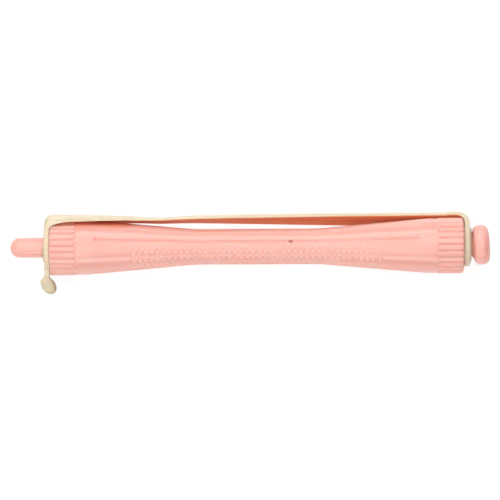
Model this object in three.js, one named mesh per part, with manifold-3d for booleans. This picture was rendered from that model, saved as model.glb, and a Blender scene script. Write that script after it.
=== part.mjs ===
// A concave permanent-wave rod: a waisted plastic barrel that hair is wound on, and a flat rubber
// elastic that is held for good behind a button at one end and hooks over a peg at the other.
//
// Millimetres, +Z up. The rod lies on a flat surface on its two rims, with its axis along X, the
// button towards +X, the peg towards -X and the elastic on the +Y side. The origin is below the
// middle of the whole part, on the surface that it lies on.

import * as THREE from 'three';
import { mergeVertices } from 'three/addons/utils/BufferGeometryUtils.js';
import Module from 'manifold-3d';

// ---- Driving dimensions ----

const BARREL_LENGTH = 81;
const RIM_RADIUS = 5.45; // the two cylindrical ends
const RIM_LENGTH = 6.2;
const WAIST_RADIUS = 3.5;
const WAIST_LENGTH = 24.2;
const EDGE_FILLET = 0.45; // round the two end faces
const WAIST_BLEND = 1.6; // how far each change of slope is eased, along the rod
const BORE_RADIUS = 2.2; // left by the core of the mould
const SOCKET_RADIUS = 2.8; // the two ends of the bore, which hold the plugs
const SOCKET_DEPTH = 8;
const SNAP_DEPTH = 4.9; // of the snap groove's middle, from the end face
const SNAP_WIDTH = 1.1;
const SNAP_HEIGHT = 0.22;

const FLUTE_COUNT = 26; // grooves round each rim, which leave finger-like ribs
const FLUTE_LENGTH = 5;
const FLUTE_WIDTH = 0.36;
const FLUTE_DEPTH = 0.28;
const FLUTE_START = 3; // degrees, from +Z towards +Y

const DRAIN_COUNT = 4; // long grooves that let lotion run through wound hair
const DRAIN_HALF_LENGTH = 31.7;
const DRAIN_WIDTH = 0.38;
const DRAIN_DEPTH = 0.35;
const DRAIN_START = 17.5; // degrees
const VENT_AT = 6.7; // a vent through the wall, in the first drain groove
const VENT_LENGTH = 0.7;
const VENT_WIDTH = 0.34;

const PLUG_CLEARANCE = 0.05;
const PLUG_LENGTH = 7.4;
const PLUG_TIP_CHAMFER = 0.4;
const PEG_RADIUS = 1.965;
const PEG_REACH = 7.86; // from the end face to the tip
const PEG_NOSE = 1.75; // length of the rounded nose
const NECK_RADIUS = 1.95;
const NECK_LENGTH = 1.3;
const FLARE_RADIUS = 2.8; // where the neck widens into the button
const BUTTON_RADIUS = 3.925;
const BUTTON_BACK = 2.05; // from the end face to the button's inner side
const BUTTON_FRONT = 5.13; // and to its outer side
const BUTTON_FLAT_RADIUS = 2.3;
const BUTTON_TILT = 3.6; // degrees: the elastic's pull draws the button over

const BAND_GAP = 0.06; // between the elastic and the plastic that it lies against
const BAND_WIDTH = 4.6;
const BAND_THICKNESS = 1;
const PAD_WIDTH = 5.4; // where the band widens into an eye
const PAD_BEVEL = 0.4;
const EYE_RADIUS = 4.1;
const EYE_THICKNESS = 1.1;
const EYE_BEVEL = 0.25;
const EYE_HOLE_RADIUS = 2.12;
const ELBOW_RADIUS = 0.65; // inside the bend over each rim
const HUG = 0.8; // how closely the band's edges follow the round rim, from 0, flat, to 1
const HUG_LENGTH = 10; // over which the strap flattens out again
const STRAP_HALF_LENGTH = 37.2;
const PIECE_GAP = 0.1; // between the sections of the elastic
const LEAN = -33; // degrees: the band leans over at the button end, down to the surface
const DIP_AT = -22.6; // the strap drops towards the cone by the peg, and then runs straight
const DIP_RADIUS = 5.38; // of the strap's middle there

const TAIL_WIDTH = 2.2; // the neck between the free eye and the bead
const TAIL_REACH = 5.9;
const BEAD_AT = [-40.7, -7.45, 0]; // from the middle of the barrel
const BEAD_SEMI_AXES = [1.475, 1.8, 1.6];
const BEAD_TILT = 17; // degrees

// ---- What follows from them ----

const BARREL_END = BARREL_LENGTH / 2;
const CONE_OUTER = BARREL_END - RIM_LENGTH;
const CONE_INNER = WAIST_LENGTH / 2;
const BAND_INNER = RIM_RADIUS + BAND_GAP;
const BAND_MIDDLE = BAND_INNER + BAND_THICKNESS / 2;
const BAND_OUTER = BAND_INNER + BAND_THICKNESS;
const TURNED_SEGMENTS = 2 * FLUTE_COUNT;
const OVERSHOOT = 1; // how far a cutter stands clear of what it cuts

const wasm = await Module();
wasm.setup();

const radians = THREE.MathUtils.degToRad;

const pinkPlastic = new THREE.MeshStandardMaterial({ color: 0xf9b5a3, roughness: 0.38, metalness: 0 });
const creamRubber = new THREE.MeshStandardMaterial({ color: 0xf6dfb8, roughness: 0.78, metalness: 0 });

// ---- Solids ----

// A closed geometry as a solid that can be joined to others and cut.
function solidOf(geometry) {
  const bare = geometry.clone();
  bare.deleteAttribute('normal');
  bare.deleteAttribute('uv');
  const merged = mergeVertices(bare, 1e-5);
  const corners = merged.index.array;
  const kept = [];
  for (let i = 0; i < corners.length; i += 3) {
    const [a, b, c] = corners.slice(i, i + 3);
    if (a !== b && b !== c && c !== a) kept.push(a, b, c);
  }
  return new wasm.Manifold(new wasm.Mesh({
    numProp: 3,
    vertProperties: merged.attributes.position.array,
    triVerts: new Uint32Array(kept),
  }));
}

function addPart(parent, name, solid, material) {
  const { vertProperties, triVerts } = solid.getMesh();
  const geometry = new THREE.BufferGeometry();
  geometry.setAttribute('position', new THREE.BufferAttribute(vertProperties, 3));
  geometry.setIndex(new THREE.BufferAttribute(triVerts, 1));
  geometry.computeVertexNormals();
  const mesh = new THREE.Mesh(geometry, material);
  mesh.name = name;
  parent.add(mesh);
}

// An outline of (radius, distance along the rod) turned about the X axis.
function turned(path, curveSteps) {
  const geometry = new THREE.LatheGeometry(path.getPoints(curveSteps), TURNED_SEGMENTS);
  return geometry.rotateZ(-Math.PI / 2);
}

// Carries a geometry made with Z outwards and Y along the rod to a place on the barrel: x along the
// rod, at a radius, and at an angle from +Z towards +Y. facing is 1 where its Y points to +X.
function placedOnBarrel(geometry, x, radius, degrees, facing) {
  const angle = radians(degrees);
  const outwards = new THREE.Vector3(0, Math.sin(angle), Math.cos(angle));
  const along = new THREE.Vector3(facing, 0, 0);
  const around = new THREE.Vector3().crossVectors(along, outwards);
  const place = new THREE.Matrix4().makeBasis(around, along, outwards);
  place.setPosition(x, radius * outwards.y, radius * outwards.z);
  return geometry.applyMatrix4(place);
}

// ---- Barrel ----

function surfaceRadius(x) {
  const rise = (Math.abs(x) - CONE_INNER) / (CONE_OUTER - CONE_INNER);
  return WAIST_RADIUS + (RIM_RADIUS - WAIST_RADIUS) * Math.min(Math.max(rise, 0), 1);
}

// Half of the barrel's outline, from the middle of the waist round the end face and back inside
// the bore. side is 1 for the +X half and -1 for the other, which runs the opposite way.
function halfOutline(side) {
  const half = new THREE.Path();
  const blendOuter = surfaceRadius(CONE_OUTER - WAIST_BLEND);
  const blendInner = surfaceRadius(CONE_INNER + WAIST_BLEND);
  const mouth = 0.2;
  half.moveTo(WAIST_RADIUS, CONE_INNER - WAIST_BLEND);
  half.quadraticCurveTo(WAIST_RADIUS, CONE_INNER, blendInner, CONE_INNER + WAIST_BLEND);
  half.lineTo(blendOuter, CONE_OUTER - WAIST_BLEND);
  half.quadraticCurveTo(RIM_RADIUS, CONE_OUTER, RIM_RADIUS, CONE_OUTER + WAIST_BLEND);
  half.lineTo(RIM_RADIUS, BARREL_END - EDGE_FILLET);
  half.quadraticCurveTo(RIM_RADIUS, BARREL_END, RIM_RADIUS - EDGE_FILLET, BARREL_END);
  half.lineTo(SOCKET_RADIUS + mouth, BARREL_END);
  half.lineTo(SOCKET_RADIUS, BARREL_END - mouth);
  const snapNear = BARREL_END - SNAP_DEPTH + SNAP_WIDTH / 2;
  const snapFar = snapNear - SNAP_WIDTH;
  half.lineTo(SOCKET_RADIUS, snapNear);
  half.lineTo(SOCKET_RADIUS + SNAP_HEIGHT, snapNear - SNAP_HEIGHT);
  half.lineTo(SOCKET_RADIUS + SNAP_HEIGHT, snapFar + SNAP_HEIGHT);
  half.lineTo(SOCKET_RADIUS, snapFar);
  half.lineTo(SOCKET_RADIUS, BARREL_END - SOCKET_DEPTH);
  half.lineTo(BORE_RADIUS, BARREL_END - SOCKET_DEPTH);
  const points = half.getPoints(3);
  return side > 0 ? points : points.reverse().map((p) => new THREE.Vector2(p.x, -p.y));
}

function fluteCutter(end, degrees) {
  const half = FLUTE_WIDTH / 2;
  const straight = FLUTE_LENGTH - half;
  const shape = new THREE.Shape();
  shape.moveTo(-half, OVERSHOOT);
  shape.lineTo(-half, -straight);
  shape.absarc(0, -straight, half, Math.PI, 2 * Math.PI);
  shape.lineTo(half, OVERSHOOT);
  const cutter = new THREE.ExtrudeGeometry(shape, {
    depth: FLUTE_DEPTH + OVERSHOOT,
    bevelEnabled: false,
    curveSegments: 3,
  });
  return placedOnBarrel(cutter, end * BARREL_END, RIM_RADIUS - FLUTE_DEPTH, degrees, end);
}

// The cutter's inner edge keeps the same depth under the waist and the cones.
function drainCutter(degrees) {
  const shape = new THREE.Shape();
  const above = RIM_RADIUS + OVERSHOOT;
  shape.moveTo(-DRAIN_HALF_LENGTH, above);
  for (const x of [-DRAIN_HALF_LENGTH, -CONE_INNER, CONE_INNER, DRAIN_HALF_LENGTH]) {
    shape.lineTo(x, surfaceRadius(x) - DRAIN_DEPTH);
  }
  shape.lineTo(DRAIN_HALF_LENGTH, above);
  const cutter = new THREE.ExtrudeGeometry(shape, { depth: DRAIN_WIDTH, bevelEnabled: false });
  cutter.translate(0, 0, -DRAIN_WIDTH / 2);
  cutter.rotateX(Math.PI / 2 - radians(degrees));
  return cutter;
}

function ventCutter() {
  const reach = WAIST_RADIUS - BORE_RADIUS + 2 * OVERSHOOT;
  const cutter = new THREE.CylinderGeometry(VENT_WIDTH / 2, VENT_WIDTH / 2, reach, 10);
  cutter.rotateX(Math.PI / 2);
  cutter.scale(1, VENT_LENGTH / VENT_WIDTH, 1);
  return placedOnBarrel(cutter, VENT_AT, BORE_RADIUS + reach / 2 - OVERSHOOT, DRAIN_START, 1);
}

function makeBarrel() {
  const outline = [...halfOutline(-1), ...halfOutline(1)];
  outline.push(outline[0].clone());
  const blank = new THREE.LatheGeometry(outline, TURNED_SEGMENTS).rotateZ(-Math.PI / 2);
  let barrel = solidOf(blank);
  for (let i = 0; i < FLUTE_COUNT; i += 1) {
    const degrees = FLUTE_START + (i * 360) / FLUTE_COUNT;
    barrel = barrel.subtract(solidOf(fluteCutter(1, degrees)));
    barrel = barrel.subtract(solidOf(fluteCutter(-1, degrees)));
  }
  for (let i = 0; i < DRAIN_COUNT; i += 1) {
    barrel = barrel.subtract(solidOf(drainCutter(DRAIN_START + (i * 360) / DRAIN_COUNT)));
  }
  return barrel.subtract(solidOf(ventCutter()));
}

// ---- Plugs ----

// The shank that both plugs press into the barrel: a chamfered tip, a snap bead and a flush
// shoulder. It ends at the shoulder's edge, where the caller's outline goes on outwards.
function shankOutline() {
  const radius = SOCKET_RADIUS - PLUG_CLEARANCE;
  const tip = BARREL_END - PLUG_LENGTH;
  const bead = BARREL_END - SNAP_DEPTH;
  const beadHeight = SNAP_HEIGHT - PLUG_CLEARANCE;
  const beadHalf = SNAP_WIDTH / 2 - 2 * PLUG_CLEARANCE;
  const path = new THREE.Path();
  path.moveTo(0, tip);
  path.lineTo(radius - PLUG_TIP_CHAMFER, tip);
  path.lineTo(radius, tip + PLUG_TIP_CHAMFER);
  path.lineTo(radius, bead - beadHalf);
  path.lineTo(radius + beadHeight, bead - beadHalf + beadHeight);
  path.lineTo(radius + beadHeight, bead + beadHalf - beadHeight);
  path.lineTo(radius, bead + beadHalf);
  path.lineTo(radius, BARREL_END);
  return path;
}

function makePegPlug() {
  const path = shankOutline();
  const tip = BARREL_END + PEG_REACH;
  path.lineTo(PEG_RADIUS, BARREL_END);
  path.lineTo(PEG_RADIUS, tip - PEG_NOSE);
  path.bezierCurveTo(PEG_RADIUS, tip - PEG_NOSE * 0.42, PEG_RADIUS * 0.52, tip, 0, tip);
  return solidOf(turned(path, 6).rotateZ(Math.PI));
}

function makeButtonPlug() {
  const neck = shankOutline();
  const inside = BARREL_END + (BUTTON_BACK + BUTTON_FRONT) / 2;
  neck.lineTo(NECK_RADIUS, BARREL_END);
  neck.lineTo(NECK_RADIUS, inside);
  neck.lineTo(0, inside);

  const back = BUTTON_BACK - NECK_LENGTH;
  const front = BUTTON_FRONT - NECK_LENGTH;
  const middle = (back + front) / 2;
  const head = new THREE.Path();
  head.moveTo(0, 0);
  head.lineTo(NECK_RADIUS, 0);
  head.lineTo(FLARE_RADIUS, back);
  head.quadraticCurveTo(BUTTON_RADIUS, back, BUTTON_RADIUS, middle);
  head.bezierCurveTo(BUTTON_RADIUS, front - 0.35, BUTTON_RADIUS - 0.7, front, BUTTON_FLAT_RADIUS, front);
  head.lineTo(0, front);
  const tilted = turned(head, 5).rotateZ(radians(BUTTON_TILT)).translate(BARREL_END + NECK_LENGTH, 0, 0);
  return solidOf(turned(neck, 1)).add(solidOf(tilted));
}

// ---- Elastic ----

// How far the band's surface drops towards the axis at a distance across it, where it hugs the rim.
function hugDrop(across) {
  return HUG * (BAND_MIDDLE - Math.sqrt(BAND_MIDDLE ** 2 - across ** 2));
}

// The bend over a rim, seen along Z: along the barrel, round the rim and down the end face. end is
// 1 at the button and -1 at the peg.
function elbow(end) {
  const face = BARREL_END + BAND_GAP;
  const start = STRAP_HALF_LENGTH + PIECE_GAP;
  const foot = (EYE_HOLE_RADIUS + EYE_RADIUS) / 2;
  const outer = ELBOW_RADIUS + BAND_THICKNESS;
  const centreX = face - ELBOW_RADIUS;
  const centreY = BAND_INNER - ELBOW_RADIUS;
  const shape = new THREE.Shape();
  shape.moveTo(start, BAND_INNER);
  shape.lineTo(centreX, BAND_INNER);
  shape.absarc(centreX, centreY, ELBOW_RADIUS, Math.PI / 2, 0, true);
  shape.lineTo(face, foot);
  shape.lineTo(face + BAND_THICKNESS, foot);
  shape.lineTo(face + BAND_THICKNESS, centreY);
  shape.absarc(centreX, centreY, outer, 0, Math.PI / 2, false);
  shape.lineTo(start, BAND_OUTER);
  const geometry = new THREE.ExtrudeGeometry(shape, {
    depth: PAD_WIDTH - 2 * PAD_BEVEL,
    bevelThickness: PAD_BEVEL,
    bevelSize: PAD_BEVEL,
    bevelOffset: -PAD_BEVEL,
    bevelSegments: 2,
    curveSegments: 4,
    steps: 5,
  });
  geometry.translate(0, 0, PAD_BEVEL - PAD_WIDTH / 2);
  const points = geometry.attributes.position;
  for (let i = 0; i < points.count; i += 1) {
    const height = THREE.MathUtils.clamp((points.getY(i) - foot) / (centreY - foot), 0, 1);
    points.setY(i, points.getY(i) - height * hugDrop(points.getZ(i)));
  }
  return end > 0 ? geometry : geometry.rotateY(Math.PI);
}

// The ring round the neck or the peg.
function eye(end) {
  const near = BARREL_END + BAND_GAP;
  const far = near + EYE_THICKNESS;
  const path = new THREE.Path();
  path.moveTo(EYE_RADIUS - EYE_BEVEL, near);
  path.lineTo(EYE_RADIUS, near + EYE_BEVEL);
  path.lineTo(EYE_RADIUS, far - EYE_BEVEL);
  path.lineTo(EYE_RADIUS - EYE_BEVEL, far);
  path.lineTo(EYE_HOLE_RADIUS, far);
  path.lineTo(EYE_HOLE_RADIUS, near);
  path.lineTo(EYE_RADIUS - EYE_BEVEL, near);
  const ring = turned(path, 1);
  return end > 0 ? ring : ring.rotateY(Math.PI);
}

function makeFixedEye() {
  return solidOf(eye(1)).add(solidOf(elbow(1)));
}

function makeFreeEye() {
  const top = (EYE_HOLE_RADIUS + EYE_RADIUS) / 2;
  const tail = new THREE.BoxGeometry(BAND_THICKNESS, TAIL_REACH - top, TAIL_WIDTH);
  tail.translate(-(BARREL_END + BAND_GAP + BAND_THICKNESS / 2), -(top + TAIL_REACH) / 2, 0);
  return solidOf(eye(-1)).add(solidOf(elbow(-1))).add(solidOf(tail));
}

// The run between the eyes. It turns evenly from the peg end, where it stands upright, to the
// button end, where it leans, and its section flattens between the rims.
function makeStrap() {
  const length = 2 * STRAP_HALF_LENGTH;
  const strap = new THREE.BoxGeometry(length, BAND_THICKNESS, BAND_WIDTH, 30, 1, 4);
  const lean = radians(LEAN);
  const buttonY = BAND_MIDDLE * Math.cos(lean);
  const straightDip = THREE.MathUtils.mapLinear(
    DIP_AT, -STRAP_HALF_LENGTH, STRAP_HALF_LENGTH, BAND_MIDDLE, buttonY,
  ) - DIP_RADIUS;
  const points = strap.attributes.position;
  for (let i = 0; i < points.count; i += 1) {
    const x = points.getX(i);
    const share = x / length + 0.5;
    const fromEnd = STRAP_HALF_LENGTH - Math.abs(x);
    const hug = THREE.MathUtils.smoothstep(HUG_LENGTH - fromEnd, 0, HUG_LENGTH);
    const offset = new THREE.Vector2(points.getY(i) - hug * hugDrop(points.getZ(i)), points.getZ(i));
    offset.rotateAround(new THREE.Vector2(), lean * share);
    const dip = straightDip * dipShare(x);
    const y = THREE.MathUtils.lerp(BAND_MIDDLE, buttonY, share) - dip;
    const z = BAND_MIDDLE * Math.sin(lean) * share;
    points.setXYZ(i, x, y + offset.x, z + offset.y);
  }
  return solidOf(strap);
}

// How much of its full dip the strap has at x: none on the peg-end rim, all of it at DIP_AT, and
// evenly less from there to the button.
function dipShare(x) {
  if (x > DIP_AT) return (STRAP_HALF_LENGTH - x) / (STRAP_HALF_LENGTH - DIP_AT);
  return THREE.MathUtils.smoothstep(x, -CONE_OUTER, DIP_AT);
}

function makeBead() {
  const ball = new THREE.SphereGeometry(1, 24, 16);
  ball.scale(...BEAD_SEMI_AXES);
  ball.rotateZ(radians(BEAD_TILT));
  ball.translate(...BEAD_AT);
  const size = 2 * Math.max(...BEAD_SEMI_AXES);
  const cut = new THREE.BoxGeometry(size, size, size);
  cut.translate(BEAD_AT[0], size / 2 - (TAIL_REACH + PIECE_GAP), 0);
  return solidOf(ball).subtract(solidOf(cut));
}

// ---- The part ----

const roller = new THREE.Group();
const rodAxis = new THREE.Group();
rodAxis.position.z = RIM_RADIUS;
roller.add(rodAxis);
addPart(rodAxis, 'rod_barrel', makeBarrel(), pinkPlastic);
addPart(rodAxis, 'peg_plug', makePegPlug(), pinkPlastic);
addPart(rodAxis, 'button_plug', makeButtonPlug(), pinkPlastic);

const leaning = new THREE.Group();
leaning.rotation.x = radians(LEAN);
rodAxis.add(leaning);
addPart(leaning, 'elastic_fixed_eye', makeFixedEye(), creamRubber);
addPart(rodAxis, 'elastic_strap', makeStrap(), creamRubber);
addPart(rodAxis, 'elastic_free_eye', makeFreeEye(), creamRubber);
addPart(rodAxis, 'elastic_pull_bead', makeBead(), creamRubber);

// The origin goes below the middle of the whole part.
roller.updateMatrixWorld(true);
const middle = new THREE.Box3().setFromObject(roller, true).getCenter(new THREE.Vector3());
roller.position.set(-middle.x, -middle.y, 0);

export default roller;
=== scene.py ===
import math

import bpy
import numpy as np
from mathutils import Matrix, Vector


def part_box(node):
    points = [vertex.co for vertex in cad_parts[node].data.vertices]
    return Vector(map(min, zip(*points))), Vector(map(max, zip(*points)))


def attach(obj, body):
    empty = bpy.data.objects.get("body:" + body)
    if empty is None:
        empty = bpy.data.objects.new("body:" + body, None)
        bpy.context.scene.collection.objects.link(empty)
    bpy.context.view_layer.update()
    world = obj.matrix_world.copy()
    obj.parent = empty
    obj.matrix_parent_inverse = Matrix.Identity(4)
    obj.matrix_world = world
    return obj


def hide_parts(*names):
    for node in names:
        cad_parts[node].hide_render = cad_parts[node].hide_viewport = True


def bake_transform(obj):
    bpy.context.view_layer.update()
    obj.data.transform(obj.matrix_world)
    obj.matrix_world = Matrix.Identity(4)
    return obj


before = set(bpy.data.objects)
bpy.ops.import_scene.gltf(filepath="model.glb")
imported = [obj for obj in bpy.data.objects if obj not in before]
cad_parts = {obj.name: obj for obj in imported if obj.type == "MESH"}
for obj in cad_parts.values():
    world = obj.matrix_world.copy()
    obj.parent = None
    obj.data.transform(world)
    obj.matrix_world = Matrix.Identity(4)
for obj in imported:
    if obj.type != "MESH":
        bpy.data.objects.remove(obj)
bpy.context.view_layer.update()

# ---- Sizes: millimetres from the middle of the barrel, on its axis ----

MM = 0.001
BARREL_LOW, BARREL_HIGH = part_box("rod_barrel")
CENTRE = (BARREL_LOW + BARREL_HIGH) / 2
HALF = (BARREL_HIGH.x - BARREL_LOW.x) / 2 / MM
RIM = (BARREL_HIGH.z - BARREL_LOW.z) / 2 / MM

WAIST = 3.5
WAIST_HALF = 12.1
RIM_LENGTH = 6.2
SLOPE_BLEND = 1.6  # how far each change of slope is eased, along the rod
EDGE_FILLET = 0.45
SOCKET = 2.8
SOCKET_MOUTH = 0.2
SOCKET_DEPTH = 8.0
BORE = 2.2

FLUTES = 26
FLUTE_START = 3.0  # degrees, from +Z towards +Y
FLUTE_LENGTH = 5.0
FLUTE_HALF_WIDTH = 0.21
FLUTE_DEPTH = 0.25  # below the ground that the ribs between the flutes stand on
RIB_RISE = 0.08  # the ribs' height above that ground, which is this much below the plain rim
RIB_HALF_WIDTH = math.pi * RIM / FLUTES - FLUTE_HALF_WIDTH
RIB_TIP = HALF - FLUTE_LENGTH + RIB_HALF_WIDTH  # centre of each rib's round end

DRAIN_ANGLES = (17.5, 107.5, 197.5, 287.5)  # degrees, from +Z towards +Y
DRAIN_HALF_LENGTH = 31.7
DRAIN_HALF_WIDTH = 0.28
DRAIN_DEPTH = 0.3
VENT_AT = 6.7
VENT_HALF_LENGTH = 0.36
VENT_DEPTH = 0.8

NUB_PANELS = (-28.0, 152.0)  # the middles of the two panels with nubs, in degrees as above
NUB_ROW_SPACING = 11.75
NUB_ANGLES = [panel + row * NUB_ROW_SPACING for panel in NUB_PANELS for row in (-2, -1, 0, 1, 2)]
NUB_STAGGERED = (1, 3, 6, 8)  # these rows are half a pitch along from the others
NUBS_EACH_WAY = 21
NUB_PITCH = 1.17
NUB_HALF_LENGTH = 0.28
NUB_HALF_SPREAD = 0.28
NUB_HEIGHT = 0.12

SHADOW_NEAR = (47.0, 61.0)  # degrees, from +Z towards +Y: where the elastic's painted orange shadow sets in on the barrel,
SHADOW_FAR = (66.0, 86.0)  # and where it dies out under the pad
SHADOW_FROM = (22.0, 28.0)  # from the rod's middle
SHADOW_STRENGTH = 0.6

PEG = 1.965
PEG_NOSE = 1.75
PLUG_CLEARANCE = 0.05
PLUG_LENGTH = 7.4
SNAP_DEPTH = 4.9
NECK = 1.95
NECK_LENGTH = 1.3
FLARE = 2.8
BUTTON = 3.925
BUTTON_BACK = 2.05
BUTTON_FRONT = 5.13
BUTTON_FLAT = 2.3
BUTTON_TILT = math.radians(3.6)

BAND_GAP = 0.06
BAND_INSIDE = RIM + BAND_GAP
BAND_HALF_WIDTH = 2.3
BAND_HALF_THICKNESS = 0.42
BAND_THIN = 0.33  # half its thickness beside the peg's pad, where it is drawn out,
THIN_FADE = (8.0, 22.0)  # from the rod's middle, between the full thickness and that one
PEG_PAD_HALF_WIDTH = 3.9
PEG_PAD_TAPER = (20.5, 34.0)  # from the rod's middle: where the wide pad narrows to the strap
BUTTON_PAD_HALF_WIDTH = 2.45
BUTTON_PAD_END = 37.4
PAD_HALF_THICKNESS = 0.47
EYE = 4.1
EYE_HALF_THICKNESS = 0.54
EYE_HOLE = 2.05
BUTTON_LIP = 0.42
PEG_LIP = 0.34
EYE_STAND_OFF = 0.22  # the fixed eye's top leans this far from the end face
ELBOW = 0.6  # inside radius of the bend over each rim, where it lies on the rim
PEG_CORNER = (4.6, 2.3)  # along and across: how far the loose near edge cuts the corner at each end
BUTTON_CORNER = (1.7, 1.5)
LEAN = math.radians(-33)
DIP_FROM = -26.8  # the strap stays at the rim's height as far as here,
DIP_AT = -18.0  # and is nearest to the rod's axis here
DIP = 0.42
NEAR_DROP = 0.59  # how far the band's near edge droops on the peg's rim
PEG_HUG_FADE = (11.0, 25.0)  # from the strap's peg end: where it stops curving round the rod
BUTTON_HUG_FADE = (3.0, 12.0)  # and from its button end
SHADED_FROM = 4.4  # from the rod's axis: further out than this, the elastic's inner face gets painted orange shade
BUTTON_LIFT = 0.08

TAIL_HALF_WIDTH = 1.1
TAIL_FROM = -4.0
BEAD_AT = (-40.9, -7.42)
BEAD_SEMI_AXES = (1.45, 1.75, 1.55)
BEAD_TILT = math.radians(17)
BEAD_WRINKLES = (7, 13)  # lobes round the bead, coarse and fine
BEAD_WRINKLE = 0.045


# ---- Mesh helpers ----

def placed(points):
    """Points in millimetres about the barrel's middle, as metres in the frame."""
    return np.asarray(points, float) * MM + np.array(CENTRE)


def new_object(name, points, faces, material):
    mesh = bpy.data.meshes.new(name)
    mesh.from_pydata(placed(points).tolist(), [], faces)
    mesh.validate()
    mesh.polygons.foreach_set("use_smooth", [True] * len(mesh.polygons))
    mesh.materials.append(material)
    obj = bpy.data.objects.new(name, mesh)
    bpy.context.scene.collection.objects.link(obj)
    return obj


def strip_faces(first_a, first_b, around):
    """Quads between two rings of points that match. Each ring closes on itself."""
    faces = []
    for j in range(around):
        k = (j + 1) % around
        faces.append((first_a + j, first_a + k, first_b + k, first_b + j))
    return faces


def ring_faces(rings, around):
    """Quads between successive matching rings of points."""
    return [f for i in range(rings - 1) for f in strip_faces(i * around, (i + 1) * around, around)]


def outward(faces, points):
    """The faces, turned over if they enclose a negative volume."""
    p = np.asarray(points, float)
    volume = 0.0
    for f in faces:
        for k in range(1, len(f) - 1):
            volume += np.dot(p[f[0]], np.cross(p[f[k]], p[f[k + 1]]))
    return faces if volume > 0 else [tuple(reversed(f)) for f in faces]


def around_axis(x, radius, angles):
    """Points at one distance along the rod, at angles from +Z towards +Y."""
    radius = np.broadcast_to(radius, angles.shape)
    return np.stack([np.full_like(angles, x), radius * np.sin(angles), radius * np.cos(angles)], axis=1)


def turned(name, outline, material, around=96, tilt=0.0, pivot=0.0):
    """A solid of revolution about the rod's axis. outline is (x, radius) from axis to axis."""
    angles = np.linspace(0, 2 * math.pi, around, endpoint=False)
    rings = [around_axis(x, r, angles) for x, r in outline[1:-1]]
    points = np.concatenate(rings)
    n = len(rings)
    faces = ring_faces(n, around)
    first, last = len(points), len(points) + 1
    points = np.concatenate([points, [[outline[0][0], 0, 0], [outline[-1][0], 0, 0]]])
    for j in range(around):
        k = (j + 1) % around
        faces.append((first, k, j))
        faces.append((last, (n - 1) * around + j, (n - 1) * around + k))
    if tilt:
        x, y = points[:, 0] - pivot, points[:, 1].copy()
        past = x > 0
        points[past, 0] = pivot + (x * math.cos(tilt) - y * math.sin(tilt))[past]
        points[past, 1] = (x * math.sin(tilt) + y * math.cos(tilt))[past]
    return new_object(name, points, outward(faces, points), material)


def arc(centre, radius, start, end, steps):
    """Points on a circular arc, in degrees."""
    return [
        (centre[0] + radius * math.cos(math.radians(a)), centre[1] + radius * math.sin(math.radians(a)))
        for a in np.linspace(start, end, steps)
    ]


def bezier(p0, p1, p2, p3, steps):
    """Points on a cubic Bezier curve, without its first."""
    points = []
    for t in np.linspace(0, 1, steps + 1)[1:]:
        s = 1 - t
        points.append(tuple(
            s ** 3 * a + 3 * s * s * t * b + 3 * s * t * t * c + t ** 3 * d
            for a, b, c, d in zip(p0, p1, p2, p3)
        ))
    return points


def smoothstep(t):
    t = np.clip(t, 0.0, 1.0)
    return t * t * (3 - 2 * t)


def fade(value, limits):
    """1 up to the first limit, eased down to 0 at the second."""
    return 1 - smoothstep((value - limits[0]) / (limits[1] - limits[0]))


def smooth_max(a, b, blend):
    h = np.clip(0.5 + 0.5 * (a - b) / blend, 0, 1)
    return b + (a - b) * h + blend * h * (1 - h)


# ---- Materials ----

def principled(name, **sockets):
    """A new material, its nodes, its links and its shader, with the shader's uniform values set."""
    material = bpy.data.materials.new(name)
    material.use_nodes = True
    nodes = material.node_tree.nodes
    shader = nodes["Principled BSDF"]
    for key, value in sockets.items():
        shader.inputs[key.replace("_", " ")].default_value = value
    return material, nodes, material.node_tree.links, shader


def object_coordinates(nodes, links, scale):
    """Object coordinates in millimetres, stretched by scale."""
    coordinates = nodes.new("ShaderNodeTexCoord")
    mapping = nodes.new("ShaderNodeMapping")
    mapping.inputs["Scale"].default_value = [s / MM for s in scale]
    links.new(coordinates.outputs["Object"], mapping.inputs["Vector"])
    return mapping.outputs["Vector"]


def noise(nodes, links, vector, scale, detail=3.0, roughness=0.55):
    node = nodes.new("ShaderNodeTexNoise")
    node.inputs["Scale"].default_value = scale
    node.inputs["Detail"].default_value = detail
    node.inputs["Roughness"].default_value = roughness
    links.new(vector, node.inputs["Vector"])
    return node.outputs["Fac"]


def ramp(nodes, links, value, stops):
    node = nodes.new("ShaderNodeValToRGB")
    elements = node.color_ramp.elements
    while len(elements) < len(stops):
        elements.new(0.5)
    for element, (position, colour) in zip(elements, stops):
        element.position = position
        element.color = (*colour, 1)
    links.new(value, node.inputs["Fac"])
    return node.outputs["Color"]


def mapped(nodes, links, value, low, high):
    """value, from 0 to 1, as a number from low to high."""
    node = nodes.new("ShaderNodeMapRange")
    node.inputs["To Min"].default_value = low
    node.inputs["To Max"].default_value = high
    links.new(value, node.inputs["Value"])
    return node.outputs["Result"]


def mixed(nodes, links, share, first, second):
    """first where share is 0, and second where it is 1. Both are colours."""
    node = nodes.new("ShaderNodeMix")
    node.data_type = "RGBA"
    shown = {socket.name: socket for socket in node.inputs if socket.enabled}
    links.new(share, shown["Factor"])
    links.new(first, shown["A"])
    links.new(second, shown["B"])
    return next(socket for socket in node.outputs if socket.enabled)


def bumped(nodes, links, shader, height, distance, strength=1.0, under=None):
    """Bump from height, on top of the normal in under, as the shader's normal."""
    node = nodes.new("ShaderNodeBump")
    node.inputs["Distance"].default_value = distance
    node.inputs["Strength"].default_value = strength
    links.new(height, node.inputs["Height"])
    if under is not None:
        links.new(under, node.inputs["Normal"])
    links.new(node.outputs["Normal"], shader.inputs["Normal"])
    return node.outputs["Normal"]


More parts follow.
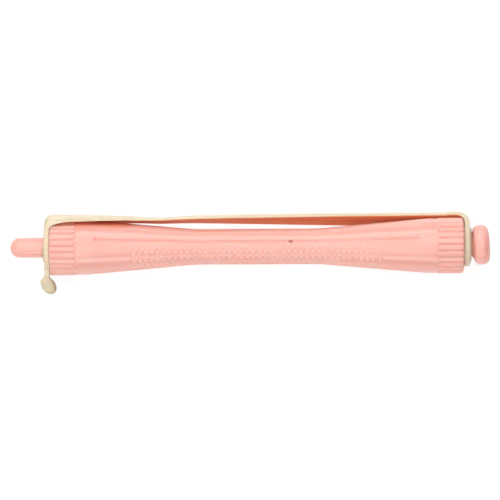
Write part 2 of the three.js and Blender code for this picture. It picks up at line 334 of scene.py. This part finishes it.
def pink_plastic(name):
    """Satin injection-moulded plastic, a little translucent, with faint flow marks and handling marks.
    The tops of the nubs are painted paler as a highlight, and a painted orange shadow lies on it beside the
    peg's pad, where the elastic shades it."""
    material, nodes, links, shader = principled(
        name, Subsurface_Weight=0.8, Subsurface_Radius=(1.0, 0.30, 0.18), Subsurface_Scale=0.0018,
        IOR=1.46, Specular_IOR_Level=0.85,
    )
    flow = noise(nodes, links, object_coordinates(nodes, links, (0.05, 0.35, 0.35)), 1.0, 4)
    smooth = ramp(nodes, links, flow, [
        (0.32, (0.805, 0.394, 0.330)), (0.5, (0.815, 0.416, 0.352)), (0.68, (0.825, 0.438, 0.374)),
    ])
    # Painted highlight: the nubs' tops are coloured paler than the rest of the barrel.
    nub_highlight_mask = nodes.new("ShaderNodeAttribute")
    nub_highlight_mask.attribute_name = "nub_top"
    nub_highlight = ramp(nodes, links, flow, [(0.3, (0.845, 0.458, 0.400)), (0.7, (0.855, 0.484, 0.426))])
    # Painted shadow: orange shade on the barrel beside the peg's pad, under the elastic's near edge.
    painted_shade = nodes.new("ShaderNodeAttribute")
    painted_shade.attribute_name = "painted_band_shadow"
    shadow_orange = ramp(nodes, links, flow, [(0.3, (0.86, 0.22, 0.090)), (0.7, (0.89, 0.26, 0.115))])
    with_highlights = mixed(nodes, links, nub_highlight_mask.outputs["Fac"], smooth, nub_highlight)
    links.new(mixed(nodes, links, painted_shade.outputs["Fac"], with_highlights, shadow_orange), shader.inputs["Base Color"])
    handling = noise(nodes, links, object_coordinates(nodes, links, (0.5, 1.2, 1.2)), 1.0, 5, 0.65)
    links.new(mapped(nodes, links, handling, 0.20, 0.30), shader.inputs["Roughness"])
    grain = noise(nodes, links, object_coordinates(nodes, links, (9, 9, 9)), 1.0, 4, 0.6)
    fine = bumped(nodes, links, shader, grain, 0.000012, 0.6)
    drawn = noise(nodes, links, object_coordinates(nodes, links, (0.25, 3, 3)), 1.0, 3)
    bumped(nodes, links, shader, drawn, 0.00002, 0.4, under=fine)
    return material


def cream_rubber(name):
    """Dusted natural rubber with faint streaks along its length and a few specks of dirt. Its inner face
    has painted orange shade and reflected pink light, and the bead's sides and the free eye's outward face
    have painted olive shade."""
    material, nodes, links, shader = principled(
        name, Subsurface_Weight=0.45, Subsurface_Radius=(1.0, 0.62, 0.34), Subsurface_Scale=0.0006,
        IOR=1.5, Specular_IOR_Level=0.3, Sheen_Weight=0.1, Sheen_Roughness=0.4,
    )
    streaks = noise(nodes, links, object_coordinates(nodes, links, (0.12, 2.2, 2.2)), 1.0, 5, 0.6)
    clean = ramp(nodes, links, streaks, [
        (0.3, (0.66, 0.56, 0.40)), (0.5, (0.72, 0.62, 0.46)), (0.7, (0.77, 0.68, 0.52)),
    ])
    # Painted shade and reflected pink light for the elastic's inner face, the side towards the rod.
    shaded_underside = ramp(nodes, links, streaks, [
        (0.3, (0.69, 0.170, 0.052)), (0.5, (0.74, 0.200, 0.068)), (0.7, (0.78, 0.240, 0.090)),
    ])
    # Painted olive shade for the bead's sides and the free eye's outward face, the faces turned from the
    # lamps.
    olive_shade = ramp(nodes, links, streaks, [(0.35, (0.44, 0.37, 0.24)), (0.65, (0.58, 0.50, 0.34))])
    inner = nodes.new("ShaderNodeAttribute")
    inner.attribute_name = "inner_face"
    side_shade_mask = nodes.new("ShaderNodeAttribute")
    side_shade_mask.attribute_name = "side_shade_mask"
    outer = mixed(nodes, links, side_shade_mask.outputs["Fac"], clean, olive_shade)
    flecks = noise(nodes, links, object_coordinates(nodes, links, (0.7, 1.6, 1.6)), 1.0, 2)
    speck = ramp(nodes, links, flecks, [(0.70, (0, 0, 0)), (0.76, (0.75, 0.75, 0.75))])
    dirt = ramp(nodes, links, flecks, [(0.0, (0.24, 0.19, 0.13)), (1.0, (0.30, 0.24, 0.17))])
    flecked = mixed(nodes, links, speck, outer, dirt)
    links.new(mixed(nodes, links, inner.outputs["Fac"], flecked, shaded_underside), shader.inputs["Base Color"])
    links.new(mapped(nodes, links, streaks, 0.62, 0.86), shader.inputs["Roughness"])
    dust = noise(nodes, links, object_coordinates(nodes, links, (7, 7, 7)), 1.0, 5, 0.7)
    fine = bumped(nodes, links, shader, dust, 0.00003, 0.6)
    bumped(nodes, links, shader, streaks, 0.00008, 0.6, under=fine)
    return material


PINK = pink_plastic("pink_plastic_moulded")
CREAM = cream_rubber("cream_rubber_dusted")


# ---- Barrel ----

# How far the mesh's columns are from the middle line of each flute, drain groove and row of nubs.
FLUTE_OFFSETS = (0.0, 0.09, 0.17, 0.25, 0.34, 0.45, 0.55)
DRAIN_OFFSETS = (0.0, 0.14, 0.26, 0.36, 0.46)
NUB_OFFSETS = (0.0, 0.14, 0.24, 0.31)
BORE_COLUMNS = 96
PLAIN_COLUMN = 0.35  # the widest gap between columns where the barrel is plain


def rise(distance):
    """A ramp that starts at 0 and is eased over SLOPE_BLEND each way."""
    eased = (distance + SLOPE_BLEND) ** 2 / (4 * SLOPE_BLEND)
    return np.where(distance < -SLOPE_BLEND, 0.0, np.where(distance > SLOPE_BLEND, distance, eased))


def barrel_radius(x):
    """The plain barrel: a straight waist, a cone each way and straight rims."""
    cone_end = HALF - RIM_LENGTH
    slope = (RIM - WAIST) / (cone_end - WAIST_HALF)
    return float(WAIST + slope * (rise(abs(x) - WAIST_HALF) - rise(abs(x) - cone_end)))


def both_ways(offsets):
    return [-o for o in offsets[:0:-1]] + list(offsets)


def flute_columns():
    """Angles of the columns over the flutes, and how far each is from the middle of its flute."""
    pitch = 2 * math.pi / FLUTES
    angles, offsets = [], []
    for i in range(FLUTES):
        for offset in both_ways(FLUTE_OFFSETS) + [pitch / 2 * RIM]:
            angles.append(math.radians(FLUTE_START) + i * pitch + offset / RIM)
            offsets.append(offset)
    return np.array(angles), np.array(offsets)


def panel_columns():
    """The columns between the flutes, each (kind, angle, offset): kind is "drain", a row of nubs' number
    or "plain", and the column runs at that offset, in mm, from the line at that angle."""
    features = [("drain", a % 360, both_ways(DRAIN_OFFSETS)) for a in DRAIN_ANGLES]
    features += [(i, a % 360, both_ways(NUB_OFFSETS)) for i, a in enumerate(NUB_ANGLES)]
    features.sort(key=lambda feature: feature[1])
    columns = []
    for i, (kind, angle, offsets) in enumerate(features):
        columns += [(kind, math.radians(angle), offset) for offset in offsets]
        following = features[(i + 1) % len(features)]
        gap = math.radians((following[1] - angle) % 360)
        room = gap * RIM - offsets[-1] + following[2][0]
        count = int(room / PLAIN_COLUMN)
        for j in range(1, count + 1):
            share = j / (count + 1)
            columns.append(("plain", math.radians(angle) + share * gap, (1 - 2 * share) * offsets[-1]))
    return columns


FLUTE_ANGLES, FLUTE_ACROSS = flute_columns()
PANEL_COLUMNS = panel_columns()


def groove_share(distance, half_width):
    """How deep a groove is at a distance from its middle line, from 0 to 1."""
    return 1 - smoothstep((distance / half_width - 0.3) / 1.2)


def panel_relief(x):
    """Height of the surface above the plain barrel at each panel column."""
    relief = np.zeros(len(PANEL_COLUMNS))
    past_end = max(abs(x) - (DRAIN_HALF_LENGTH - DRAIN_HALF_WIDTH), 0.0)
    vent = 1 - ((x - VENT_AT) / VENT_HALF_LENGTH) ** 2
    for i, (kind, angle, offset) in enumerate(PANEL_COLUMNS):
        if kind == "drain":
            relief[i] = -DRAIN_DEPTH * groove_share(math.hypot(offset, past_end), DRAIN_HALF_WIDTH)
            if angle == math.radians(DRAIN_ANGLES[0]) and vent > (offset / DRAIN_HALF_WIDTH) ** 2:
                relief[i] -= VENT_DEPTH
        elif kind != "plain":
            shift = 0.5 if kind in NUB_STAGGERED else 0.0
            nearest = round(x / NUB_PITCH - shift) + shift
            if abs(nearest) <= NUBS_EACH_WAY:
                along = abs(x - nearest * NUB_PITCH) / NUB_HALF_LENGTH
                inside = 1 - along ** 2.2 - (abs(offset) / NUB_HALF_SPREAD) ** 2.6
                relief[i] = NUB_HEIGHT * math.sqrt(max(inside, 0.0))
    return relief


def flute_relief(x):
    """Height above the plain barrel at each flute column: round-ended ribs with flutes between."""
    past_tip = max(RIB_TIP - abs(x), 0.0)
    from_rib = math.pi * RIM / FLUTES - np.abs(FLUTE_ACROSS)
    outside = np.hypot(from_rib, past_tip) - RIB_HALF_WIDTH
    rib = 1 - smoothstep((outside + 0.12) / 0.28)
    flute = FLUTE_DEPTH * (1 - smoothstep((outside - 0.12) / 0.36))
    flute = flute * (1 - 0.75 * smoothstep(past_tip / RIB_HALF_WIDTH))
    step = RIB_RISE * smoothstep((abs(x) - HALF + RIM_LENGTH + 1.6) / 2.6)
    return rib * RIB_RISE - (1 - rib) * flute - step


def half_stations():
    """Distances from the middle where the barrel has a ring of points, for its panels and its flutes."""
    in_pitch = np.array([0.0, 0.145, 0.25, 0.355, 0.5, 0.645, 0.75, 0.855]) * NUB_PITCH
    nubs = [i * NUB_PITCH + d for i in range(NUBS_EACH_WAY + 1) for d in in_pitch]
    cone = np.arange(nubs[-1] + 0.6, DRAIN_HALF_LENGTH - 0.9, 0.9)
    drain_end = DRAIN_HALF_LENGTH - DRAIN_HALF_WIDTH + np.array([-0.3, 0, 0.08, 0.16, 0.24, 0.32, 0.42])
    panels = np.concatenate([nubs, cone, drain_end, [DRAIN_HALF_LENGTH + 0.8]])
    rim_start = np.linspace(DRAIN_HALF_LENGTH + 1.2, HALF - FLUTE_LENGTH - 0.6, 6)
    tips = np.linspace(HALF - FLUTE_LENGTH - 0.45, RIB_TIP + 0.05, 13)
    fluted = np.linspace(RIB_TIP + 0.4, HALF - EDGE_FILLET, 5)
    return panels, np.concatenate([rim_start, tips, fluted])


def panel_ring(x):
    radius = barrel_radius(x)
    angles = np.array([angle + offset / radius for _, angle, offset in PANEL_COLUMNS])
    relief = panel_relief(x)
    return angles, around_axis(x, radius + relief, angles), np.clip(relief / NUB_HEIGHT, 0, 1)


def flute_ring(x, radius):
    return FLUTE_ANGLES, around_axis(x, radius + flute_relief(x), FLUTE_ANGLES), np.zeros(len(FLUTE_ANGLES))


def bore_ring(x, radius):
    angles = np.linspace(0, 2 * math.pi, BORE_COLUMNS, endpoint=False) + FLUTE_ANGLES[0]
    return angles, around_axis(x, radius, angles), np.zeros(BORE_COLUMNS)


def zip_faces(first_a, angles_a, first_b, angles_b):
    """Triangles between two rings whose points are at different angles."""
    count_a, count_b = len(angles_a), len(angles_b)
    start = angles_a[0]
    shift = int(np.argmin((angles_b - start) % (2 * math.pi)))

    def angle_a(i):
        return angles_a[i % count_a] + 2 * math.pi * (i // count_a)

    def angle_b(j):
        within = (angles_b[(j + shift) % count_b] - start) % (2 * math.pi)
        return start + within + 2 * math.pi * (j // count_b)

    faces, i, j = [], 0, 0
    while i < count_a or j < count_b:
        here_a, here_b = first_a + i % count_a, first_b + (j + shift) % count_b
        if j == count_b or (i < count_a and angle_a(i + 1) <= angle_b(j + 1)):
            faces.append((here_a, first_a + (i + 1) % count_a, here_b))
            i += 1
        else:
            faces.append((here_a, first_b + (j + 1 + shift) % count_b, here_b))
            j += 1
    return faces


def painted_band_shadow(points):
    """How much painted orange shadow the elastic lays on the barrel, along the near edge of its pad at the
    peg end.
    """
    bearing = np.degrees(np.arctan2(points[:, 1], points[:, 2]))
    beside = (1 - fade(bearing, SHADOW_NEAR)) * fade(bearing, SHADOW_FAR)
    return SHADOW_STRENGTH * beside * (1 - fade(-points[:, 0], SHADOW_FROM))


def make_barrel():
    panels, rims = half_stations()
    fillet = arc((HALF - EDGE_FILLET, RIM - EDGE_FILLET), EDGE_FILLET, 90, 0, 7)[1:]
    rim = [(x, barrel_radius(x)) for x in rims] + fillet
    mouth = SOCKET + SOCKET_MOUTH
    inside = [(HALF, mouth + 0.8), (HALF, mouth), (HALF - SOCKET_MOUTH, SOCKET),
              (HALF - SOCKET_DEPTH, SOCKET), (HALF - SOCKET_DEPTH, BORE)]
    rings = [flute_ring(-x, r) for x, r in rim[::-1]]
    rings += [panel_ring(-x) for x in panels[:0:-1]] + [panel_ring(x) for x in panels]
    rings += [flute_ring(x, r) for x, r in rim]
    rings += [bore_ring(x, r) for x, r in inside] + [bore_ring(-x, r) for x, r in inside[::-1]]
    points = np.concatenate([ring[1] for ring in rings])
    firsts = np.cumsum([0] + [len(ring[0]) for ring in rings])
    faces = []
    for i, (angles, _, _) in enumerate(rings):
        following = (i + 1) % len(rings)
        if len(rings[following][0]) == len(angles):
            faces += strip_faces(int(firsts[i]), int(firsts[following]), len(angles))
        else:
            faces += zip_faces(int(firsts[i]), angles, int(firsts[following]), rings[following][0])
    barrel = new_object("barrel", points, outward(faces, points), PINK)
    # How high each point stands on a nub, which sets the painted highlight on the nubs' tops.
    tops = barrel.data.attributes.new("nub_top", "FLOAT", "POINT")
    tops.data.foreach_set("value", np.concatenate([ring[2] for ring in rings]))
    # Painted shadow of the elastic beside the peg's pad, stored at each point.
    painted_shade = barrel.data.attributes.new("painted_band_shadow", "FLOAT", "POINT")
    painted_shade.data.foreach_set("value", painted_band_shadow(points))
    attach(barrel, "rod")
    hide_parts("rod_barrel")


# ---- Plugs ----

def shank():
    """(x, radius) of the pressed-in part of a plug, from its tip to the end face, for the +X end."""
    radius = SOCKET - PLUG_CLEARANCE
    tip = HALF - PLUG_LENGTH
    bead = HALF - SNAP_DEPTH
    return [(tip, 0), (tip, radius - 0.4), (tip + 0.4, radius), (bead - 0.45, radius),
            (bead - 0.28, radius + 0.17), (bead + 0.28, radius + 0.17), (bead + 0.45, radius),
            (HALF, radius)]


def make_peg_plug():
    tip = HALF + (BARREL_LOW.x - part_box("peg_plug")[0].x) / MM
    start = tip - PEG_NOSE
    outline = shank() + [(HALF, PEG + 0.12), (HALF + 0.04, PEG + 0.04), (HALF + 0.14, PEG)]
    outline += [(HALF + 0.14 + (start - HALF - 0.14) * t, PEG) for t in (0.25, 0.5, 0.75, 1.0)]
    outline += bezier((start, PEG), (tip - PEG_NOSE * 0.42, PEG), (tip, PEG * 0.52), (tip, 0), 14)
    mirrored = [(-x, r) for x, r in outline]
    plug = turned("peg", mirrored, PINK)
    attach(plug, "rod")
    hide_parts("peg_plug")


def make_button_plug():
    back, front = HALF + BUTTON_BACK, HALF + BUTTON_FRONT
    middle = (back + front) / 2
    outline = shank() + [(HALF, NECK + 0.12), (HALF + 0.04, NECK + 0.03), (HALF + 0.14, NECK)]
    outline += [(HALF + NECK_LENGTH - 0.3, NECK), (HALF + NECK_LENGTH, NECK + 0.02)]
    outline += bezier((HALF + NECK_LENGTH, NECK + 0.02), (HALF + NECK_LENGTH + 0.3, NECK + 0.2),
                      (back - 0.2, FLARE - 0.35), (back, FLARE), 5)
    outline += bezier((back, FLARE), (back, FLARE + 0.75), (back + 0.5, BUTTON), (middle, BUTTON), 9)
    outline += bezier((middle, BUTTON), (front - 0.55, BUTTON), (front, BUTTON - 0.65),
                      (front, BUTTON_FLAT), 12)
    outline += [(front, r) for r in (1.8, 1.2, 0.62)] + [(front - 0.06, 0.55), (front - 0.06, 0)]
    plug = turned("button", outline, PINK, tilt=BUTTON_TILT, pivot=HALF + NECK_LENGTH)
    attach(plug, "rod")
    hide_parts("button_plug")


# ---- Elastic ----

SECTION_ACROSS = 14
SECTION_CORNER = 5
STRAP_FROM = PEG_CORNER[0] - HALF - BAND_GAP
STRAP_TO = HALF + BAND_GAP + EYE_STAND_OFF - BUTTON_CORNER[0]


def section(half_width, half_thickness, roundness):
    """Points (across, through) round the band's section. roundness goes from 0, a strap with eased
    corners, to 1, an ellipse."""
    corner = min(0.28, half_thickness, half_width)
    points = []
    for sx, sy, start in ((1, 1, 0), (-1, 1, 90), (-1, -1, 180), (1, -1, 270)):
        cx, cy = sx * (half_width - corner), sy * (half_thickness - corner)
        points += arc((cx, cy), corner, start, start + 90, SECTION_CORNER)
        if sx * sy > 0:
            flat = half_width - corner
            shares = np.linspace(1, -1, SECTION_ACROSS + 1)[1:-1]
            points += [(sy * flat * s, sy * half_thickness) for s in shares]
    points = np.array(points)
    bearing = np.arctan2(points[:, 1] / half_thickness, points[:, 0] / half_width)
    ellipse = np.stack([half_width * np.cos(bearing), half_thickness * np.sin(bearing)], axis=1)
    return points + roundness * (ellipse - points)


def droop(across, half_width):
    """How far the band's section bends towards the axis at points across it, where it wraps the rod.
    The far half follows the rim's circle. The near half bends no further than NEAR_DROP."""
    middle = BAND_INSIDE + BAND_HALF_THICKNESS
    circle = middle - np.sqrt(middle ** 2 - across ** 2)
    near = np.minimum(NEAR_DROP * (across / half_width) ** 2, circle)
    return np.where(across < 0, circle, near)


def pad_half_width(end):
    return BUTTON_PAD_HALF_WIDTH if end > 0 else PEG_PAD_HALF_WIDTH


def pad_share(x):
    """1 on the pads, and 0 on the strap between them."""
    if x > 0:
        return float(smoothstep((x - BUTTON_PAD_END + 0.5) / 0.9))
    return 1 - float(fade(-x, PEG_PAD_TAPER))


def strap_lean(x):
    """The strap's angle from +Y towards +Z: it twists from one rim to the other."""
    return LEAN * float(np.clip((x - STRAP_FROM) / (STRAP_TO - STRAP_FROM), 0, 1))


def rotated(radial, across, lean):
    """(y, z) of a point that is this far out and across, when the band leans."""
    c, s = math.cos(lean), math.sin(lean)
    return radial * c - across * s, radial * s + across * c


def strap_inner_radius(x):
    """The strap's height above the axis: level over the peg's rim, lower over the cone, and then
    slowly up to the button's rim."""
    down = float(smoothstep((x - DIP_FROM) / (DIP_AT - DIP_FROM)))
    up = float(np.clip((x - DIP_AT) / (STRAP_TO - DIP_AT), 0, 1))
    return BAND_INSIDE - DIP * down + (DIP + BUTTON_LIFT) * up * (0.35 + 0.65 * up)


def strap_points(x):
    """The strap's section at x, in 3D."""
    pad = pad_share(x)
    half_width = BAND_HALF_WIDTH + (pad_half_width(x) - BAND_HALF_WIDTH) * pad
    half_thickness = BAND_THIN + (BAND_HALF_THICKNESS - BAND_THIN) * float(fade(-x, THIN_FADE))
    thickening = pad if x > 0 else pad ** 3
    half_thickness += (PAD_HALF_THICKNESS - half_thickness) * thickening
    flat = section(half_width, half_thickness, 0.0)
    by_peg = fade(x - STRAP_FROM, PEG_HUG_FADE)
    by_button = fade(STRAP_TO - x, BUTTON_HUG_FADE)
    share = np.where(flat[:, 0] < 0, by_peg + by_button, by_peg)
    out = strap_inner_radius(x) + half_thickness + flat[:, 1] - share * droop(flat[:, 0], half_width)
    y, z = rotated(out, flat[:, 0], strap_lean(x))
    return np.stack([np.full(len(flat), x), y, z], axis=1)


def tight_corner(face, start, end, top, share):
    """Points and their normals on lines that go up the end face, round ELBOW and along the rim. The
    lines turn over at the heights in top."""
    up, turn, along = top - ELBOW - start, ELBOW * math.pi / 2, face - ELBOW - end
    distance = share * (up + turn + along)
    angle = np.clip((distance - up) / ELBOW, 0, math.pi / 2)
    c, s = np.cos(angle), np.sin(angle)
    x = face - ELBOW + ELBOW * c - np.maximum(distance - up - turn, 0)
    h = np.where(distance < up, start + distance, top - ELBOW + ELBOW * s)
    return np.stack([x, h, c, s])


def loose_corner(face, start, end, top, share):
    """Points and their normals on quarter ellipses between the same ends as tight_corner's."""
    a, b = face - end, top - start
    c, s = math.cos(share * math.pi / 2), math.sin(share * math.pi / 2)
    length = np.hypot(c / a, s / b)
    return np.stack([np.full_like(b, end + a * c), start + b * s, c / a / length, s / b / length])


def corner_points(end, share):
    """The band's section on its way over the rim at the peg end (-1) or the button end (1)."""
    reach = BUTTON_CORNER if end > 0 else PEG_CORNER
    face = HALF + BAND_GAP + (EYE_STAND_OFF if end > 0 else 0.0)
    start, stop = BAND_INSIDE - reach[1], face - reach[0]
    half_thickness = EYE_HALF_THICKNESS + (PAD_HALF_THICKNESS - EYE_HALF_THICKNESS) * share
    half_width = pad_half_width(end)
    half_width += (eye_half_width(end, start) - half_width) * (1 - float(smoothstep(share * 2)))
    flat = section(half_width, half_thickness, 0.0)
    wraps = (flat[:, 0] < 0) | (end < 0)
    top = BAND_INSIDE - wraps * droop(flat[:, 0], half_width) + (BUTTON_LIFT if end > 0 else 0.0)
    tight = tight_corner(face, start, stop, top, share)
    loose = loose_corner(face, start, stop, top, share)
    weight = np.clip(flat[:, 0] / half_width, 0, 1) ** (2 if end > 0 else 4)
    x, h, nx, nh = tight + weight * (loose - tight)
    length = np.hypot(nx, nh)
    out = half_thickness + flat[:, 1]
    y, z = rotated(h + out * nh / length, flat[:, 0], strap_lean(end * stop))
    return np.stack([end * (x + out * nx / length), y, z], axis=1)


def eye_half_width(end, h):
    """Half the width of an eye's outline at a height. The free eye narrows into its tail."""
    disc = math.sqrt(max(EYE ** 2 - h ** 2, 0.0))
    if h >= 0:
        return float(smooth_max(disc, pad_half_width(end), 0.8))
    return float(smooth_max(disc, TAIL_HALF_WIDTH, 0.6)) if end < 0 else max(disc, 0.05)


def eye_points(end, h):
    """The section of an eye at height h. A lip is drawn out round the hole: round the button's neck, and
    below the peg."""
    edge = 1 - min((h + EYE) / 0.35, 1.0) if end > 0 else 0.0
    half_thickness = EYE_HALF_THICKNESS * math.sqrt(max(1 - edge ** 2, 0.002))
    flat = section(eye_half_width(end, h), half_thickness, 0.0)
    x = HALF + BAND_GAP + EYE_HALF_THICKNESS + flat[:, 1]
    from_hole = np.hypot(h, flat[:, 0])
    if end > 0:
        x = x + EYE_STAND_OFF * float(smoothstep(h / (BAND_INSIDE - BUTTON_CORNER[1])))
        x = x + BUTTON_LIP * np.exp(-((from_hole - 3.0) / 0.55) ** 2) * (flat[:, 1] > 0)
    else:
        lip = PEG_LIP * (1 - 0.88 * float(smoothstep(h + 0.5)))
        x = x + lip * np.exp(-((from_hole - 2.2) / 0.75) ** 2) * (flat[:, 1] > 0)
    y, z = rotated(h, flat[:, 0], LEAN if end > 0 else 0.0)
    return np.stack([end * x, y, z], axis=1)


def tail_points(h):
    """The narrow tail below the free eye, and the bead that it ends in."""
    along = (h - BEAD_AT[1]) / BEAD_SEMI_AXES[1]
    ball = math.sqrt(max(1 - along ** 2, 0.0))
    bead = float(1 - smoothstep((h - BEAD_AT[1] - 1.0) / 1.2))
    tail = 1.0 if h > BEAD_AT[1] else 0.0
    half_width = max(BEAD_SEMI_AXES[2] * ball, TAIL_HALF_WIDTH * tail)
    half_thickness = max(BEAD_SEMI_AXES[0] * ball, EYE_HALF_THICKNESS * tail)
    flat = section(half_width, half_thickness, bead)
    bearing = np.arctan2(flat[:, 1], flat[:, 0])
    wrinkle = np.sin(BEAD_WRINKLES[0] * bearing + 2 * along)
    wrinkle += 0.5 * np.sin(BEAD_WRINKLES[1] * bearing - 5 * along)
    flat = flat * (1 + bead * ball * BEAD_WRINKLE * wrinkle)[:, None]
    face = HALF + BAND_GAP + EYE_HALF_THICKNESS
    leaning = -BEAD_AT[0] + (h - BEAD_AT[1]) * math.tan(BEAD_TILT)
    x = bead * leaning + (1 - bead) * face + flat[:, 1]
    return np.stack([-x, np.full(len(flat), h), flat[:, 0]], axis=1)


def elastic_rings():
    """Sections from the bead's tip, up the free eye, along the strap and down the fixed eye."""
    to_equator = np.linspace(0.12, math.pi * 0.78, 26)
    rings = [tail_points(h) for h in BEAD_AT[1] - BEAD_SEMI_AXES[1] * np.cos(to_equator)]
    rings += [tail_points(h) for h in np.linspace(-5.9, TAIL_FROM - 0.1, 8)]
    rings += [eye_points(-1, h) for h in np.linspace(TAIL_FROM, BAND_INSIDE - PEG_CORNER[1], 34)]
    rings += [corner_points(-1, share) for share in np.linspace(0, 1, 40)[1:]]
    rings += [strap_points(x) for x in np.linspace(STRAP_FROM, STRAP_TO, 150)[1:]]
    rings += [corner_points(1, share) for share in np.linspace(1, 0, 24)[1:]]
    top = BAND_INSIDE - BUTTON_CORNER[1]
    turned_down = np.sin(np.linspace(math.pi / 2, 0, 40))
    rings += [eye_points(1, top - (top + EYE) * (1 - share)) for share in turned_down[1:]]
    return rings


def eye_hole(end):
    """A cutter for the hole in an eye, a little wider at its two mouths."""
    near, far = HALF - 0.6, HALF + 2.4
    outline = [(near, 0), (near, EYE_HOLE + 0.5), (HALF + BAND_GAP + 0.2, EYE_HOLE),
               (HALF + BAND_GAP + 0.8, EYE_HOLE), (far, EYE_HOLE + 0.7), (far, 0)]
    return turned("eye_hole_cutter", [(end * x, r) for x, r in outline], CREAM, around=64)


def cut_away(obj, cutter):
    """Takes the cutter's shape out of obj, and deletes the cutter."""
    modifier = obj.modifiers.new("cut", "BOOLEAN")
    modifier.operation = "DIFFERENCE"
    modifier.solver = "EXACT"
    modifier.object = cutter
    bpy.context.view_layer.update()
    evaluated = obj.evaluated_get(bpy.context.evaluated_depsgraph_get())
    mesh = bpy.data.meshes.new_from_object(evaluated)
    obj.modifiers.clear()
    obj.data = mesh
    bpy.data.objects.remove(cutter)


def mark_painted_shade(mesh):
    """Stores, at each point, how much painted shade it gets: orange shade and reflected pink light on the
    strap's face towards the rod, and olive shade on the bead's sides and on the outward face of the free
    eye."""
    painted_shade, side_shade = [], []
    for vertex in mesh.vertices:
        along, up = (vertex.co.x - CENTRE.x) / MM, (vertex.co.y - CENTRE.y) / MM
        across_rod = (vertex.co - CENTRE) * Vector((0, 1, 1))
        on_strap = across_rod.length / MM > SHADED_FROM and up > 0
        facing = -vertex.normal.dot(across_rod.normalized()) if on_strap else 0.0
        outward_face = smoothstep((-vertex.normal.x - 0.2) / 0.6) if along < -39 else 0.0
        # Painted shade on the strap's face towards the rod.
        painted_shade.append(smoothstep((facing - 0.1) / 0.6))
        # Painted shade: the bead's sides are darker than its top, which faces the lamps; the free eye's
        # outward face is darker too.
        bead = smoothstep((-up - 4.5) / 2.5) * (1 - 0.65 * smoothstep(vertex.normal.z / 0.8))
        side_shade.append(max(bead, 0.75 * outward_face))
    mesh.attributes.new("inner_face", "FLOAT", "POINT").data.foreach_set("value", painted_shade)
    mesh.attributes.new("side_shade_mask", "FLOAT", "POINT").data.foreach_set("value", side_shade)


def make_elastic():
    rings = elastic_rings()
    around = len(rings[0])
    points = np.concatenate(rings)
    faces = ring_faces(len(rings), around)
    faces.append(tuple(range(around))[::-1])
    faces.append(tuple(range((len(rings) - 1) * around, len(rings) * around)))
    elastic = new_object("elastic", points, outward(faces, points), CREAM)
    for end in (-1, 1):
        cut_away(elastic, eye_hole(end))
    elastic.data.polygons.foreach_set("use_smooth", [True] * len(elastic.data.polygons))
    mark_painted_shade(elastic.data)
    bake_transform(elastic)
    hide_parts("elastic_fixed_eye", "elastic_strap", "elastic_free_eye", "elastic_pull_bead")


# ---- Studio ----

def make_camera():
    """Straight down, with the rod almost level in the picture."""
    camera = bpy.data.objects.new("camera", bpy.data.cameras.new("camera"))
    bpy.context.scene.collection.objects.link(camera)
    bpy.context.scene.camera = camera
    camera.data.lens = 300
    camera.data.sensor_width = 36
    view_width = 0.0981
    height = view_width / camera.data.sensor_width * camera.data.lens
    camera.location = (CENTRE.x - 0.00132, CENTRE.y - 0.00066, CENTRE.z + height)
    camera.rotation_euler = (0, 0, math.radians(-0.3))


def make_floor():
    size = 3.0
    mesh = bpy.data.meshes.new("floor")
    corners = [(-size, -size, 0), (size, -size, 0), (size, size, 0), (-size, size, 0)]
    mesh.from_pydata(corners, [], [(0, 1, 2, 3)])
    floor = bpy.data.objects.new("floor", mesh)
    bpy.context.scene.collection.objects.link(floor)
    material, nodes, links, shader = principled(
        "white_sweep", Roughness=0.7, Specular_IOR_Level=0.2,
        Emission_Color=(1, 1, 1, 1), Emission_Strength=0.72,
    )
    shade = noise(nodes, links, object_coordinates(nodes, links, (0.02, 0.02, 0.02)), 1.0, 2)
    links.new(ramp(nodes, links, shade, [(0.3, (0.33, 0.33, 0.33)), (0.7, (0.35, 0.35, 0.35))]),
              shader.inputs["Base Color"])
    mesh.materials.append(material)


def area_light(name, location, size, power):
    """A soft white light that faces the object."""
    light = bpy.data.lights.new(name, "AREA")
    light.shape = "RECTANGLE"
    light.size, light.size_y = size
    light.energy = power
    obj = bpy.data.objects.new(name, light)
    bpy.context.scene.collection.objects.link(obj)
    obj.location = location
    obj.rotation_euler = (-Vector(location)).to_track_quat("-Z", "Y").to_euler()


def make_lights():
    area_light("key", (0.0, 0.62, 0.35), (1.0, 0.28), 3.1)
    area_light("fill", (0.0, -0.60, 0.38), (1.0, 0.20), 2.4)
    area_light("overhead", (-0.2, 0.08, 0.71), (1.2, 1.0), 7.9)
    world = bpy.data.worlds.new("studio")
    bpy.context.scene.world = world
    world.use_nodes = True
    background = world.node_tree.nodes["Background"]
    background.inputs["Color"].default_value = (1, 1, 1, 1)
    background.inputs["Strength"].default_value = 0.03
    bpy.context.scene.view_settings.view_transform = "Standard"


make_camera()
make_barrel()
make_peg_plug()
make_button_plug()
make_elastic()
make_floor()
make_lights()
